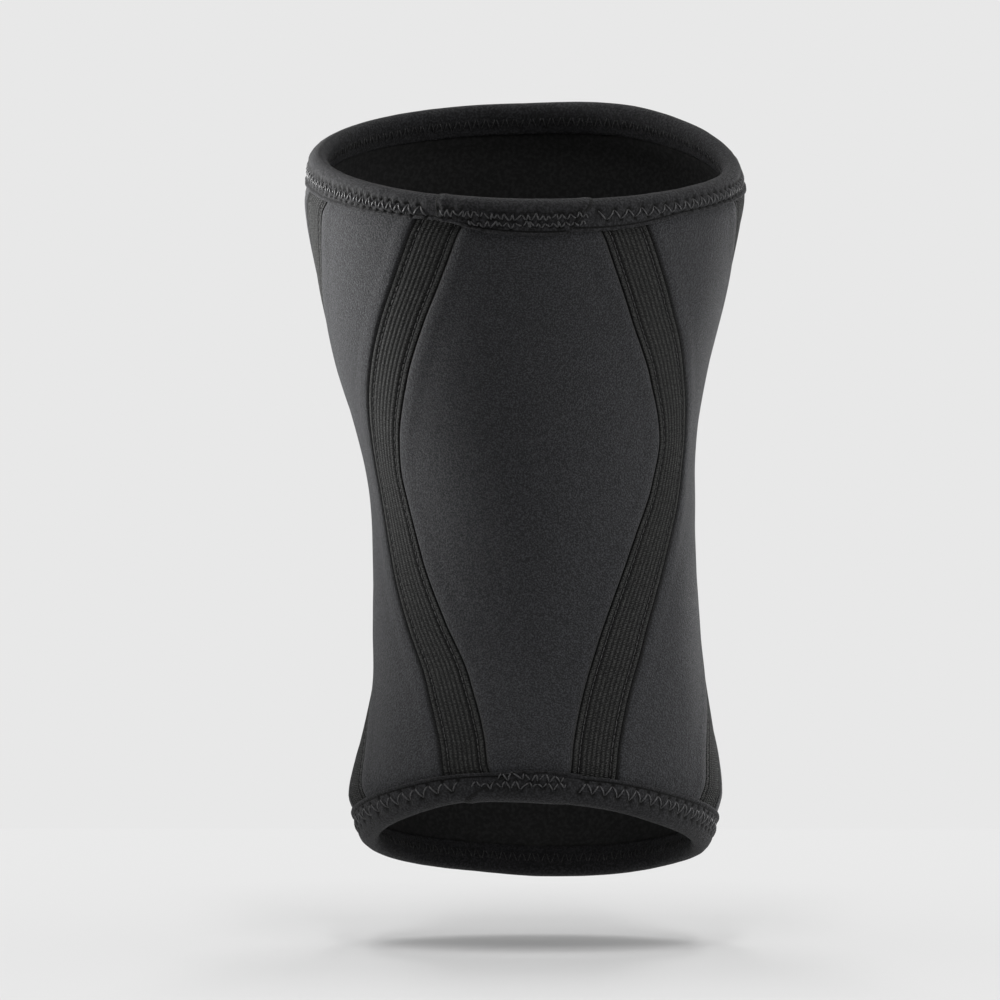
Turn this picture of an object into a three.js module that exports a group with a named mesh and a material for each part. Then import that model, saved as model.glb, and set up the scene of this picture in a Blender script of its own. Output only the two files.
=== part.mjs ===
// Knee sleeve: four neoprene panels, ribbed tape over their seams and a folded binding round each opening.
// Millimetres and degrees. +Z runs up the leg, -Y is the back of the knee, +X is the right side from behind.
// The origin is the centre of the hollow at the knee. The sleeve keeps the form that a bent leg gives it.

import * as THREE from 'three';

// The leg's centreline, from the knee to each opening, bends towards the back of the knee
const thighLength = 130;
const calfLength = 127.5;
const thighBend = 18.6;
const calfBend = 15.9;

// Outer sizes of the neoprene at the knee and where each end is widest
const kneeWidth = 121.4;
const kneeDepth = 110;
const thighWidth = 164.4;
const thighDepth = 144;
const calfWidth = 139;
const calfDepth = 125;

// Neoprene, seam tape and the gaps between pieces that touch
const wall = 5;
const clearance = 0.3;
const seamGap = 0.3;
const tapeWidth = 16.6;
const tapeThickness = 1;
const tapeSink = 0.25;
const tapeLip = 1.5;
const tapeGroove = 1.5;
const tapeGrooveDepth = 0.45;

// Edge bindings: a strip folded over the rim, whose two ends lap at the rear centre.
// A lap runs between two places measured sideways from the rear centre at the rim, and each of its
// ends slants by the run given between the rim and the edge of the strip.
const bindingThickness = 0.8;
const bindingClearance = 0.42;
const bindingInnerReach = 8.5;
const thighBinding = {
  end: 1, reach: 10, lapReach: 11.8, lapFrom: -33, lapTo: 25, slantFrom: 9, slantTo: -4,
};
const calfBinding = {
  end: -1, reach: 10, lapReach: 11, lapFrom: -25, lapTo: 13, slantFrom: 18, slantTo: 3,
};
const lapStep = 0.3;

// How finely the curved walls are divided: degrees round the leg, the longest step along it, and the
// shortest step from the edge of a binding to the next row
const facetAngle = 8;
const lapFacetAngle = 6;
const longestRow = 24;
const shortestRow = 2;

// Sections from the calf opening (-1) to the thigh opening (1), along in shares of calfLength or thighLength.
// swell: share of the way from the knee's size to the widest size of that end
// lean: sideways place of the section's centre, as a share of kneeWidth
const sections = [
  { along: -1.00, swell: 0.44, lean: 0.008 },
  { along: -0.93, swell: 0.78, lean: 0.007 },
  { along: -0.88, swell: 1.00, lean: 0.006 },
  { along: -0.77, swell: 0.81, lean: 0.011 },
  { along: -0.65, swell: 0.49, lean: 0.016 },
  { along: -0.53, swell: 0.20, lean: 0.018 },
  { along: -0.40, swell: 0.06, lean: 0.010 },
  { along: -0.12, swell: 0.00, lean: 0.001 },
  { along: 0.00, swell: 0.02, lean: -0.003 },
  { along: 0.09, swell: 0.06, lean: -0.011 },
  { along: 0.16, swell: 0.12, lean: -0.018 },
  { along: 0.24, swell: 0.21, lean: -0.025 },
  { along: 0.40, swell: 0.44, lean: -0.034 },
  { along: 0.58, swell: 0.69, lean: -0.034 },
  { along: 0.70, swell: 0.83, lean: -0.030 },
  { along: 0.82, swell: 0.95, lean: -0.028 },
  { along: 0.89, swell: 0.98, lean: -0.028 },
  { along: 0.93, swell: 0.91, lean: -0.028 },
  { along: 1.00, swell: 0.86, lean: -0.028 },
];

// Seams from the calf opening to the thigh opening, in degrees round from the rear centre
const seams = [
  { along: -1.0, rearLeft: -20.5, rearRight: 18.0, frontRight: 71, frontLeft: -75 },
  { along: -0.8, rearLeft: -24.0, rearRight: 19.0, frontRight: 75, frontLeft: -78 },
  { along: -0.6, rearLeft: -32.0, rearRight: 24.0, frontRight: 88, frontLeft: -90 },
  { along: -0.4, rearLeft: -42.5, rearRight: 33.3, frontRight: 100, frontLeft: -102 },
  { along: -0.2, rearLeft: -52.0, rearRight: 43.5, frontRight: 110, frontLeft: -111 },
  { along: 0.05, rearLeft: -59.4, rearRight: 56.2, frontRight: 117, frontLeft: -116 },
  { along: 0.2, rearLeft: -56.0, rearRight: 59.0, frontRight: 115, frontLeft: -111 },
  { along: 0.4, rearLeft: -45.3, rearRight: 50.4, frontRight: 106, frontLeft: -98 },
  { along: 0.6, rearLeft: -35.3, rearRight: 39.3, frontRight: 96, frontLeft: -86 },
  { along: 0.8, rearLeft: -27.0, rearRight: 30.5, frontRight: 84, frontLeft: -76 },
  { along: 1.0, rearLeft: -20.5, rearRight: 24.0, frontRight: 78, frontLeft: -69 },
];

// The rims are cut in a slight curve: how far each stands out at each angle round, as a share of its length
const rims = [
  { around: -180, thigh: 0.008, calf: 0.013 },
  { around: -155, thigh: 0.006, calf: 0.005 },
  { around: -90, thigh: 0.004, calf: 0.010 },
  { around: -55, thigh: 0.008, calf: -0.002 },
  { around: -25, thigh: 0.008, calf: -0.022 },
  { around: 0, thigh: 0.005, calf: -0.014 },
  { around: 25, thigh: -0.002, calf: 0.000 },
  { around: 50, thigh: -0.012, calf: 0.020 },
  { around: 90, thigh: -0.028, calf: 0.026 },
  { around: 125, thigh: 0.004, calf: 0.018 },
  { around: 150, thigh: 0.020, calf: 0.018 },
  { around: 180, thigh: 0.008, calf: 0.013 },
];

// A rim's curve fades out at this share of the length from the knee
const rimCurveStart = 0.5;

const neopreneMaterial = { color: 0x35363a, roughness: 0.85, metalness: 0 };
const tapeMaterial = { color: 0x232422, roughness: 0.9, metalness: 0 };
const bindingMaterial = { color: 0x2a2a2d, roughness: 0.8, metalness: 0 };

// Half of an octagon's flat, as a share of the radius of the circle inside it
const octagonHalfFlat = Math.tan(Math.PI / 8);

// A smooth curve through one column of a table, with each row's slope taken from its neighbours.
// Past the first and last rows it goes straight on.
function columnAt(table, key, column, at) {
  const last = table.length - 1;
  const slope = (i) => {
    const before = table[Math.max(i - 1, 0)];
    const after = table[Math.min(i + 1, last)];
    return (after[column] - before[column]) / (after[key] - before[key]);
  };
  if (at <= table[0][key]) return table[0][column] + (at - table[0][key]) * slope(0);
  if (at >= table[last][key]) return table[last][column] + (at - table[last][key]) * slope(last);
  const row = table.findIndex((_, i) => at < table[i + 1][key]);
  const from = table[row];
  const to = table[row + 1];
  const span = to[key] - from[key];
  const t = (at - from[key]) / span;
  const fromPart = (1 + 2 * t) * (1 - t) ** 2 * from[column] + t * (1 - t) ** 2 * span * slope(row);
  const toPart = t * t * (3 - 2 * t) * to[column] + t * t * (t - 1) * span * slope(row + 1);
  return fromPart + toPart;
}

// Where a height along the centreline lies, as a share of its end's length
function shareOf(height) {
  return height / (height < 0 ? calfLength : thighLength);
}

// The centreline is one arc from the knee to each opening
function centreline(height) {
  const length = height < 0 ? calfLength : thighLength;
  const bend = THREE.MathUtils.degToRad(height < 0 ? calfBend : thighBend);
  const radius = length / bend;
  const tilt = height / radius;
  return { y: radius * (Math.cos(tilt) - 1), z: radius * Math.sin(tilt), tilt };
}

// Half width, half depth and sideways place of the neoprene's outer face at a height
function sectionAt(height) {
  const share = shareOf(height);
  const swell = columnAt(sections, 'along', 'swell', share);
  const waist = sections.find((row) => row.swell === 0).along;
  const widest = share < waist ? [calfWidth, calfDepth] : [thighWidth, thighDepth];
  return {
    halfWidth: (kneeWidth + (widest[0] - kneeWidth) * swell) / 2,
    halfDepth: (kneeDepth + (widest[1] - kneeDepth) * swell) / 2,
    lean: columnAt(sections, 'along', 'lean', share) * kneeWidth,
  };
}

// How far the rim's curve moves a point along the leg
function rimShift(height, around) {
  const share = shareOf(height);
  const fade = Math.max(Math.abs(share) - rimCurveStart, 0) / (1 - rimCurveStart);
  const turned = THREE.MathUtils.euclideanModulo(around + 180, 360) - 180;
  const column = height < 0 ? 'calf' : 'thigh';
  const length = height < 0 ? -calfLength : thighLength;
  return columnAt(rims, 'around', column, turned) * length * fade * fade;
}

// A point of the sleeve: height along the centreline, angle round from the rear centre, and
// offset outwards from the neoprene's outer face
function sleevePoint({ height, around, offset }) {
  const place = height + rimShift(height, around);
  const centre = centreline(place);
  const section = sectionAt(place);
  const angle = THREE.MathUtils.degToRad(around);
  const outwards = -(section.halfDepth + offset) * Math.cos(angle);
  return new THREE.Vector3(
    section.lean + (section.halfWidth + offset) * Math.sin(angle),
    centre.y + outwards * Math.cos(centre.tilt),
    centre.z + outwards * Math.sin(centre.tilt),
  );
}

// Degrees round the sleeve for one millimetre of its outer face
function degreesPerMillimetre(height, around) {
  const section = sectionAt(height);
  const angle = THREE.MathUtils.degToRad(around);
  const radius = Math.hypot(section.halfWidth * Math.cos(angle), section.halfDepth * Math.sin(angle));
  return THREE.MathUtils.radToDeg(1 / radius);
}

// The angle of a line that runs beside a seam, at a distance measured square to the seam
function besideSeam(seam, height, distance) {
  const around = columnAt(seams, 'along', seam, shareOf(height));
  const perMillimetre = degreesPerMillimetre(height, around);
  const step = 1;
  const ahead = columnAt(seams, 'along', seam, shareOf(height + step));
  const behind = columnAt(seams, 'along', seam, shareOf(height - step));
  const slope = (ahead - behind) / (2 * step) / perMillimetre;
  return around + distance * Math.hypot(1, slope) * perMillimetre;
}

// One closed solid through rings of points, each four-sided facet split along its shorter diagonal.
// An open run of rings gets a flat cap at each end.
function solidThroughRings(rings, closed) {
  const count = rings[0].length;
  const points = rings.flat().map(sleevePoint);
  const positions = points.flatMap((point) => point.toArray());
  const triangles = [];
  const steps = closed ? rings.length : rings.length - 1;
  for (let ring = 0; ring < steps; ring += 1) {
    const next = (ring + 1) % rings.length;
    for (let i = 0; i < count; i += 1) {
      const j = (i + 1) % count;
      const [a, b, c, d] = [ring * count + i, ring * count + j, next * count + j, next * count + i];
      const straight = points[a].distanceTo(points[c]) < points[b].distanceTo(points[d]);
      triangles.push(...(straight ? [[a, b, c], [a, c, d]] : [[b, c, d], [b, d, a]]));
    }
  }
  if (!closed) {
    const lastRing = (rings.length - 1) * count;
    triangles.push(...capTriangles(rings[0]).map(([a, b, c]) => [a, c, b]));
    triangles.push(...capTriangles(rings[steps]).map((corners) => corners.map((i) => lastRing + i)));
  }
  const geometry = new THREE.BufferGeometry();
  geometry.setAttribute('position', new THREE.Float32BufferAttribute(positions, 3));
  geometry.setIndex(signedVolume(positions, triangles) < 0
    ? triangles.flatMap(([a, b, c]) => [a, c, b])
    : triangles.flat());
  geometry.computeVertexNormals();
  return geometry;
}

// The triangles that close a ring, turned the same way as the ring itself
function capTriangles(ring) {
  const outline = ring.map(({ around, offset }) => {
    const angle = THREE.MathUtils.degToRad(around);
    return new THREE.Vector2(Math.sin(angle), Math.cos(angle)).multiplyScalar(kneeWidth + offset);
  });
  const { area, triangulateShape } = THREE.ShapeUtils;
  return triangulateShape(outline, []).map(([a, b, c]) => {
    const sameWay = area([outline[a], outline[b], outline[c]]) * area(outline) > 0;
    return sameWay ? [a, b, c] : [a, c, b];
  });
}

function signedVolume(positions, triangles) {
  const corner = (index) => new THREE.Vector3().fromArray(positions, index * 3);
  return triangles.reduce((sum, [a, b, c]) => sum + corner(a).dot(corner(b).cross(corner(c))) / 6, 0);
}

// How far the neoprene's edge is bevelled under the binding, so that it has half an octagon's form
const rimBevel = (wall / 2) * (1 - octagonHalfFlat);

// Heights of the rows that a panel and its tape share, each with its depth below the nearer rim.
// They follow the sections, with long steps halved, and are closer under the bindings.
function rowHeights() {
  const shares = sections.map((row) => row.along);
  const between = shares.slice(1).map((share, i) => (share + shares[i]) / 2);
  const halved = between.filter((_, i) => (shares[i + 1] - shares[i]) * thighLength > longestRow);
  const rows = [];
  for (const { end, reach } of [calfBinding, thighBinding]) {
    const length = end < 0 ? calfLength : thighLength;
    const sameEnd = [...shares, ...halved].filter((share) => share * end > 0);
    const below = sameEnd.map((share) => length * (1 - share * end));
    const open = below.filter((depth) => depth > reach + shortestRow);
    const depths = [0, rimBevel, reach / 2, reach, ...open];
    rows.push(...depths.map((depth) => ({ height: end * (length - depth), depth })));
  }
  rows.push({ height: 0, depth: thighLength });
  return rows.sort((a, b) => a.height - b.height);
}

// A neoprene panel between two seams, cut back under the tape along both edges.
// The front panel passes half a turn, so its second seam is counted a whole turn on.
function panelGeometry(fromSeam, toSeam) {
  const floor = -(tapeSink + tapeThickness + clearance);
  const turn = fromSeam === 'frontRight' ? 360 : 0;
  const spans = rowHeights().map(({ height }) => (
    besideSeam(toSeam, height, 0) + turn - besideSeam(fromSeam, height, 0)
  ));
  const steps = Math.round(Math.max(...spans) / facetAngle);
  const rings = rowHeights().map(({ height, depth }) => {
    const trim = Math.max(rimBevel - depth, 0);
    const outer = (around, offset) => ({ height, around, offset: Math.min(offset, -trim) });
    const inner = (around) => ({ height, around, offset: -wall + trim });
    const seamFrom = besideSeam(fromSeam, height, seamGap / 2);
    const seamTo = besideSeam(toSeam, height, -seamGap / 2) + turn;
    const tapeFrom = besideSeam(fromSeam, height, tapeWidth / 2 + clearance);
    const tapeTo = besideSeam(toSeam, height, -tapeWidth / 2 - clearance) + turn;
    const ring = [inner(seamFrom), outer(seamFrom, floor), outer(tapeFrom, floor)];
    for (let i = 0; i <= steps; i += 1) {
      ring.push(outer(THREE.MathUtils.lerp(tapeFrom, tapeTo, i / steps), 0));
    }
    ring.push(outer(tapeTo, floor), outer(seamTo, floor));
    for (let i = steps; i > 0; i -= 1) {
      ring.push(inner(THREE.MathUtils.lerp(seamFrom, seamTo, i / steps)));
    }
    return ring;
  });
  return solidThroughRings(rings, false);
}

// Ribbed tape along a seam: a lip at each edge, a stitched groove inside it and a raised middle
function tapeGeometry(seam) {
  const top = -tapeSink;
  const floor = top - tapeThickness;
  const half = tapeWidth / 2;
  const grooveMiddle = half - tapeLip - tapeGroove / 2;
  const grooveInside = half - tapeLip - tapeGroove;
  const side = [
    { across: half, offset: floor },
    { across: half, offset: top },
    { across: half - tapeLip, offset: top },
    { across: grooveMiddle, offset: top - tapeGrooveDepth },
    { across: grooveInside, offset: top },
  ];
  const otherSide = side.map(({ across, offset }) => ({ across: -across, offset })).reverse();
  const outline = [...side, { across: 0, offset: top }, ...otherSide, { across: 0, offset: floor }];
  const rings = rowHeights().filter(({ depth }) => depth >= rimBevel).map(({ height }) => (
    outline.map(({ across, offset }) => ({ height, around: besideSeam(seam, height, across), offset }))
  ));
  return solidThroughRings(rings, false);
}

// One face of the folded binding, from the edge of its outer leg over the rim to the edge of its inner leg.
// gap is its distance from the neoprene, and the fold is half an octagon round the rim.
function foldedFace(gap, outerReach) {
  const middle = -wall / 2;
  const radius = wall / 2 + gap;
  const flat = radius * octagonHalfFlat;
  return [
    { depth: outerReach, offset: gap },
    { depth: outerReach / 2, offset: gap },
    { depth: wall / 2 - flat, offset: gap },
    { depth: wall / 2 - radius, offset: middle + flat },
    { depth: wall / 2 - radius, offset: middle - flat },
    { depth: wall / 2 - flat, offset: -wall - gap },
    { depth: bindingInnerReach / 2, offset: -wall - gap },
    { depth: bindingInnerReach, offset: -wall - gap },
  ];
}

// The binding of one opening. It is two strips thick where its ends lap.
function bindingGeometry({ end, reach, lapReach, lapFrom, lapTo, slantFrom, slantTo }) {
  const length = end < 0 ? calfLength : thighLength;
  const perMillimetre = degreesPerMillimetre(end * length, 0);
  const ringAt = (from, to, share, layers, outerReach) => {
    const outside = foldedFace(bindingClearance + bindingThickness * layers, outerReach);
    const inside = foldedFace(bindingClearance, outerReach).reverse();
    return [...outside, ...inside].map(({ depth, offset }) => {
      const slant = depth / reach;
      const start = (from.place + from.slant * slant) * perMillimetre + from.turn;
      const stop = (to.place + to.slant * slant) * perMillimetre + to.turn;
      return {
        height: end * (length - depth), around: THREE.MathUtils.lerp(start, stop, share), offset,
      };
    });
  };
  const lapStart = { place: lapFrom, slant: slantFrom, turn: 0 };
  const lapEnd = { place: lapTo, slant: slantTo, turn: 0 };
  const singleStart = { place: lapTo + lapStep, slant: slantTo, turn: 0 };
  const singleEnd = { place: lapFrom - lapStep, slant: slantFrom, turn: 360 };
  const lapSpan = (lapTo - lapFrom) * perMillimetre;
  const lapSteps = Math.round(lapSpan / lapFacetAngle);
  const singleSteps = Math.round((360 - lapSpan) / facetAngle);
  const rings = [];
  for (let i = 0; i <= lapSteps; i += 1) {
    rings.push(ringAt(lapStart, lapEnd, i / lapSteps, 2, lapReach));
  }
  for (let i = 0; i <= singleSteps; i += 1) {
    rings.push(ringAt(singleStart, singleEnd, i / singleSteps, 1, reach));
  }
  return solidThroughRings(rings, true);
}

const sleeve = new THREE.Group();
sleeve.name = 'knee_sleeve';

function addPiece(name, geometry, finish) {
  const mesh = new THREE.Mesh(geometry, new THREE.MeshStandardMaterial(finish));
  mesh.name = name;
  sleeve.add(mesh);
}

addPiece('rear_panel', panelGeometry('rearLeft', 'rearRight'), neopreneMaterial);
addPiece('side_panel_left', panelGeometry('frontLeft', 'rearLeft'), neopreneMaterial);
addPiece('side_panel_right', panelGeometry('rearRight', 'frontRight'), neopreneMaterial);
addPiece('front_panel', panelGeometry('frontRight', 'frontLeft'), neopreneMaterial);
addPiece('seam_band_rear_left', tapeGeometry('rearLeft'), tapeMaterial);
addPiece('seam_band_rear_right', tapeGeometry('rearRight'), tapeMaterial);
addPiece('seam_band_front_left', tapeGeometry('frontLeft'), tapeMaterial);
addPiece('seam_band_front_right', tapeGeometry('frontRight'), tapeMaterial);
addPiece('top_binding', bindingGeometry(thighBinding), bindingMaterial);
addPiece('bottom_binding', bindingGeometry(calfBinding), bindingMaterial);

export default sleeve;
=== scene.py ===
import functools
import math
import random

import bmesh
import bpy
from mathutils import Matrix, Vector, kdtree, noise


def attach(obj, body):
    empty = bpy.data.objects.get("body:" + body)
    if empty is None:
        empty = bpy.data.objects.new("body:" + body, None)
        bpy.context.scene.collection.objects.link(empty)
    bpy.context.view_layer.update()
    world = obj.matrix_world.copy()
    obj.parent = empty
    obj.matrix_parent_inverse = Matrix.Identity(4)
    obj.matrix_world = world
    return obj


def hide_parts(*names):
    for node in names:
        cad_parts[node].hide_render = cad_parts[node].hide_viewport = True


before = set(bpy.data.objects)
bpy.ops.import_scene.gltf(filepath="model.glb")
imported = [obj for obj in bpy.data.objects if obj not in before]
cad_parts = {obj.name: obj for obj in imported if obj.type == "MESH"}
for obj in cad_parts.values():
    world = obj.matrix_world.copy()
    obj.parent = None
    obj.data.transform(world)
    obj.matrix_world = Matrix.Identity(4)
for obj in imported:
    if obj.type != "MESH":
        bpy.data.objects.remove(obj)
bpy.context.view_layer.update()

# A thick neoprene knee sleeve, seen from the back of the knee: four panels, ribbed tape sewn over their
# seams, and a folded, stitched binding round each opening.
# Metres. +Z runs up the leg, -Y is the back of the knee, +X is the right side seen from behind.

random.seed(7)

# The leg's centreline, from the knee to each opening, bends towards the back of the knee
THIGH_LENGTH = 0.130
CALF_LENGTH = 0.1275
THIGH_BEND = math.radians(18.6)
CALF_BEND = math.radians(15.9)

# Outer width and depth of the neoprene at the knee and where each end is widest
KNEE = (0.1214, 0.110)
THIGH = (0.1644, 0.144)
CALF = (0.139, 0.125)

# Neoprene and seam tape
WALL = 0.005
SEAM_GAP = 0.0003
TAPE_WIDTH = 0.0166
TAPE_THICKNESS = 0.001
TAPE_SINK = 0.00025
TAPE_LIP = 0.0015
TAPE_GROOVE = 0.0015
TAPE_GROOVE_DEPTH = 0.00055
TAPE_RIBS = 6
TAPE_RIB_DEPTH = 0.00022
TAPE_CLEARANCE = 0.0003

# Edge bindings
BINDING_THICKNESS = 0.0008
BINDING_CLEARANCE = 0.00042
BINDING_INNER_REACH = 0.0085


class Table:
    """Rows of numbers with named columns, read as smooth curves over the first column."""

    def __init__(self, columns, rows):
        names = columns.split()
        self.keys = [row[0] for row in rows]
        self.columns = {name: [row[i] for row in rows] for i, name in enumerate(names)}

    def slope(self, values, i):
        before = max(i - 1, 0)
        after = min(i + 1, len(values) - 1)
        return (values[after] - values[before]) / (self.keys[after] - self.keys[before])

    def at(self, column, key):
        values = self.columns[column]
        keys = self.keys
        last = len(keys) - 1
        if key <= keys[0]:
            return values[0] + (key - keys[0]) * self.slope(values, 0)
        if key >= keys[last]:
            return values[last] + (key - keys[last]) * self.slope(values, last)
        i = next(n for n in range(last) if key < keys[n + 1])
        span = keys[i + 1] - keys[i]
        t = (key - keys[i]) / span
        start = (1 + 2 * t) * (1 - t) ** 2 * values[i] + t * (1 - t) ** 2 * span * self.slope(values, i)
        stop = t * t * (3 - 2 * t) * values[i + 1] + t * t * (t - 1) * span * self.slope(values, i + 1)
        return start + stop


# Sections from the calf opening (-1) to the thigh opening (1).
# swell: share of the way from the knee's size to the widest size of that end
# lean: sideways place of the section's centre, as a share of the knee's width
SECTIONS = Table("along swell lean", [
    (-1.00, 0.44, 0.008), (-0.93, 0.78, 0.007), (-0.88, 1.00, 0.006), (-0.77, 0.81, 0.011),
    (-0.65, 0.49, 0.016), (-0.53, 0.20, 0.018), (-0.40, 0.06, 0.010), (-0.12, 0.00, 0.001),
    (0.00, 0.02, -0.003), (0.09, 0.06, -0.011), (0.16, 0.12, -0.018), (0.24, 0.21, -0.025),
    (0.40, 0.44, -0.034), (0.58, 0.69, -0.034), (0.70, 0.83, -0.030), (0.82, 0.95, -0.028),
    (0.89, 0.98, -0.028), (0.93, 0.91, -0.028), (1.00, 0.86, -0.028),
])
WAIST = -0.12

# Seams from the calf opening to the thigh opening, in degrees round from the rear centre
SEAMS = Table("along rear_left rear_right front_right front_left", [
    (-1.00, -20.5, 18.0, 71, -75), (-0.80, -24.0, 19.0, 75, -78), (-0.60, -32.0, 24.0, 88, -90),
    (-0.40, -42.5, 33.3, 100, -102), (-0.20, -52.0, 43.5, 110, -111), (0.05, -59.4, 56.2, 117, -116),
    (0.20, -56.0, 59.0, 115, -111), (0.40, -45.3, 50.4, 106, -98), (0.60, -35.3, 39.3, 96, -86),
    (0.80, -27.0, 30.5, 84, -76), (1.00, -20.5, 24.0, 78, -69),
])

# How far each rim stands out at each angle round, as a share of its length
RIMS = Table("around thigh calf", [
    (-180, 0.008, 0.013), (-155, 0.006, 0.005), (-90, 0.004, 0.010), (-55, 0.008, -0.002),
    (-25, 0.008, -0.022), (0, 0.005, -0.014), (25, -0.002, 0.000), (50, -0.012, 0.020),
    (90, -0.028, 0.026), (125, 0.004, 0.018), (150, 0.020, 0.018), (180, 0.008, 0.013),
])
RIM_CURVE_START = 0.5


def end_length(height):
    return CALF_LENGTH if height < 0 else THIGH_LENGTH


@functools.lru_cache(maxsize=None)
def section_at(height):
    """Half width, half depth and sideways place of the neoprene's outer face."""
    share = height / end_length(height)
    swell = SECTIONS.at("swell", share)
    widest = CALF if share < WAIST else THIGH
    half_width = (KNEE[0] + (widest[0] - KNEE[0]) * swell) / 2
    half_depth = (KNEE[1] + (widest[1] - KNEE[1]) * swell) / 2
    return half_width, half_depth, SECTIONS.at("lean", share) * KNEE[0]


@functools.lru_cache(maxsize=None)
def rim_stand_out(column, around):
    return RIMS.at(column, around)


def rim_shift(height, around):
    """How far the rim's curve moves a point along the leg."""
    fade = max(abs(height) / end_length(height) - RIM_CURVE_START, 0) / (1 - RIM_CURVE_START)
    if fade == 0:
        return 0
    turned = (around + 180) % 360 - 180
    column = "calf" if height < 0 else "thigh"
    return rim_stand_out(column, turned) * math.copysign(end_length(height), height) * fade * fade


def sleeve_point(height, around, offset):
    """A point at a height along the centreline, an angle round from the rear centre, and a distance
    outwards from the neoprene's outer face."""
    place = height + rim_shift(height, around)
    radius = end_length(place) / (CALF_BEND if place < 0 else THIGH_BEND)
    tilt = place / radius
    half_width, half_depth, lean = section_at(place)
    angle = math.radians(around)
    outwards = -(half_depth + offset) * math.cos(angle)
    return Vector((
        lean + (half_width + offset) * math.sin(angle),
        radius * (math.cos(tilt) - 1) + outwards * math.cos(tilt),
        radius * math.sin(tilt) + outwards * math.sin(tilt),
    ))


def degrees_per_metre(height, around):
    half_width, half_depth, _ = section_at(height)
    angle = math.radians(around)
    return math.degrees(1 / math.hypot(half_width * math.cos(angle), half_depth * math.sin(angle)))


@functools.lru_cache(maxsize=None)
def seam_line(seam, height):
    """The seam's angle at a height, and degrees for each metre measured square to it."""
    around = SEAMS.at(seam, height / end_length(height))
    step = 0.001
    ahead = SEAMS.at(seam, (height + step) / end_length(height + step))
    behind = SEAMS.at(seam, (height - step) / end_length(height - step))
    per_metre = degrees_per_metre(height, around)
    slope = (ahead - behind) / (2 * step) / per_metre
    return around, math.hypot(1, slope) * per_metre


def beside_seam(seam, height, distance):
    around, per_metre = seam_line(seam, height)
    return around + distance * per_metre


def mix(a, b, t):
    return a + (b - a) * t


def smooth(t):
    t = min(max(t, 0), 1)
    return t * t * (3 - 2 * t)


SLEEVE = bpy.data.collections.new("sleeve")
bpy.context.scene.collection.children.link(SLEEVE)


def finish_piece(name, bm, materials):
    """Makes an object of a bmesh, smooth shaded, riding on the sleeve."""
    bmesh.ops.recalc_face_normals(bm, faces=bm.faces)
    mesh = bpy.data.meshes.new(name)
    bm.to_mesh(mesh)
    bm.free()
    mesh.shade_smooth()
    for material in materials:
        mesh.materials.append(material)
    piece = bpy.data.objects.new(name, mesh)
    SLEEVE.objects.link(piece)
    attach(piece, "root")
    return piece


def bend_grid(bm, columns, rows, place):
    """Adds a grid to bm and bends it. place(column, row) gives a point, its place on the cloth in metres,
    how much painted shade it takes from 0 to 1, and which material it takes."""
    painted_shade = bm.verts.layers.float.get("painted_shade") or bm.verts.layers.float.new("painted_shade")
    uv_layer = bm.loops.layers.uv.get("cloth") or bm.loops.layers.uv.new("cloth")
    size = 1.0
    grid = bmesh.ops.create_grid(bm, x_segments=columns, y_segments=rows, size=size)
    crossings = {}
    for vert in grid["verts"]:
        column = round((vert.co.x / size + 1) / 2 * columns)
        row = round((vert.co.y / size + 1) / 2 * rows)
        crossings[vert] = place(column, row)
    faces = {face for vert in crossings for face in vert.link_faces}
    for face in faces:
        for loop in face.loops:
            loop[uv_layer].uv = crossings[loop.vert][1]
        face.material_index = min(crossings[vert][3] for vert in face.verts)
    for vert, (point, _, sunk, _) in crossings.items():
        vert.co = point
        vert[painted_shade] = sunk
    return list(crossings)


# Points this close are one point, and edges this short are taken out
MERGE = 1e-6
SLIVER = MERGE / 10


def strip_piece(name, bm, verts, materials):
    """Closes a bent grid where its sides meet, and makes a piece of it."""
    bmesh.ops.remove_doubles(bm, verts=verts, dist=MERGE)
    bmesh.ops.dissolve_degenerate(bm, edges=bm.edges, dist=SLIVER)
    return finish_piece(name, bm, materials)


# Neoprene panels

ROW_STEP = 0.0016
# Columns inwards from the tape's side, and how many steps lie between the last ones of the two sides
EDGE_STEPS = [0, 0.00012, 0.0003, 0.0005, 0.0008, 0.0011, 0.0016, 0.0024, 0.0036, 0.0052, 0.0075]
MIDDLE_COLUMNS = 40
# The cut edge's rounding, how much wider than it the painted shade beside the tape is, and the low swelling
# behind it
EDGE_ROUND = 0.0014
EDGE_SHADE_REACH = 1.2
PUFF = 0.00035
PUFF_WIDTH = 0.0075
# The bed that a tape lies in, and the places of its columns as shares of the way to the tape's side
TAPE_BED = TAPE_SINK + TAPE_THICKNESS + TAPE_CLEARANCE
BED_SHARES = [0, 0.5, 0.97]
# Near a rim: depth below it, and how far a panel's two faces are drawn together
RIM_INSET = 0.003
RIM_ROUND = [(0, 1), (0.0003, 0.72), (0.0008, 0.44), (0.0015, 0.18), (0.0022, 0.04)]


def panel_heights():
    """Heights of a panel's rows, each with how far its two faces are drawn together at the rim."""
    rounded = [(-CALF_LENGTH + depth, pinch) for depth, pinch in RIM_ROUND]
    start = -CALF_LENGTH + RIM_INSET
    stop = THIGH_LENGTH - RIM_INSET
    steps = round((stop - start) / ROW_STEP)
    rounded += [(mix(start, stop, i / steps), 0) for i in range(steps + 1)]
    rounded += [(THIGH_LENGTH - depth, pinch) for depth, pinch in reversed(RIM_ROUND)]
    return rounded


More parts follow.
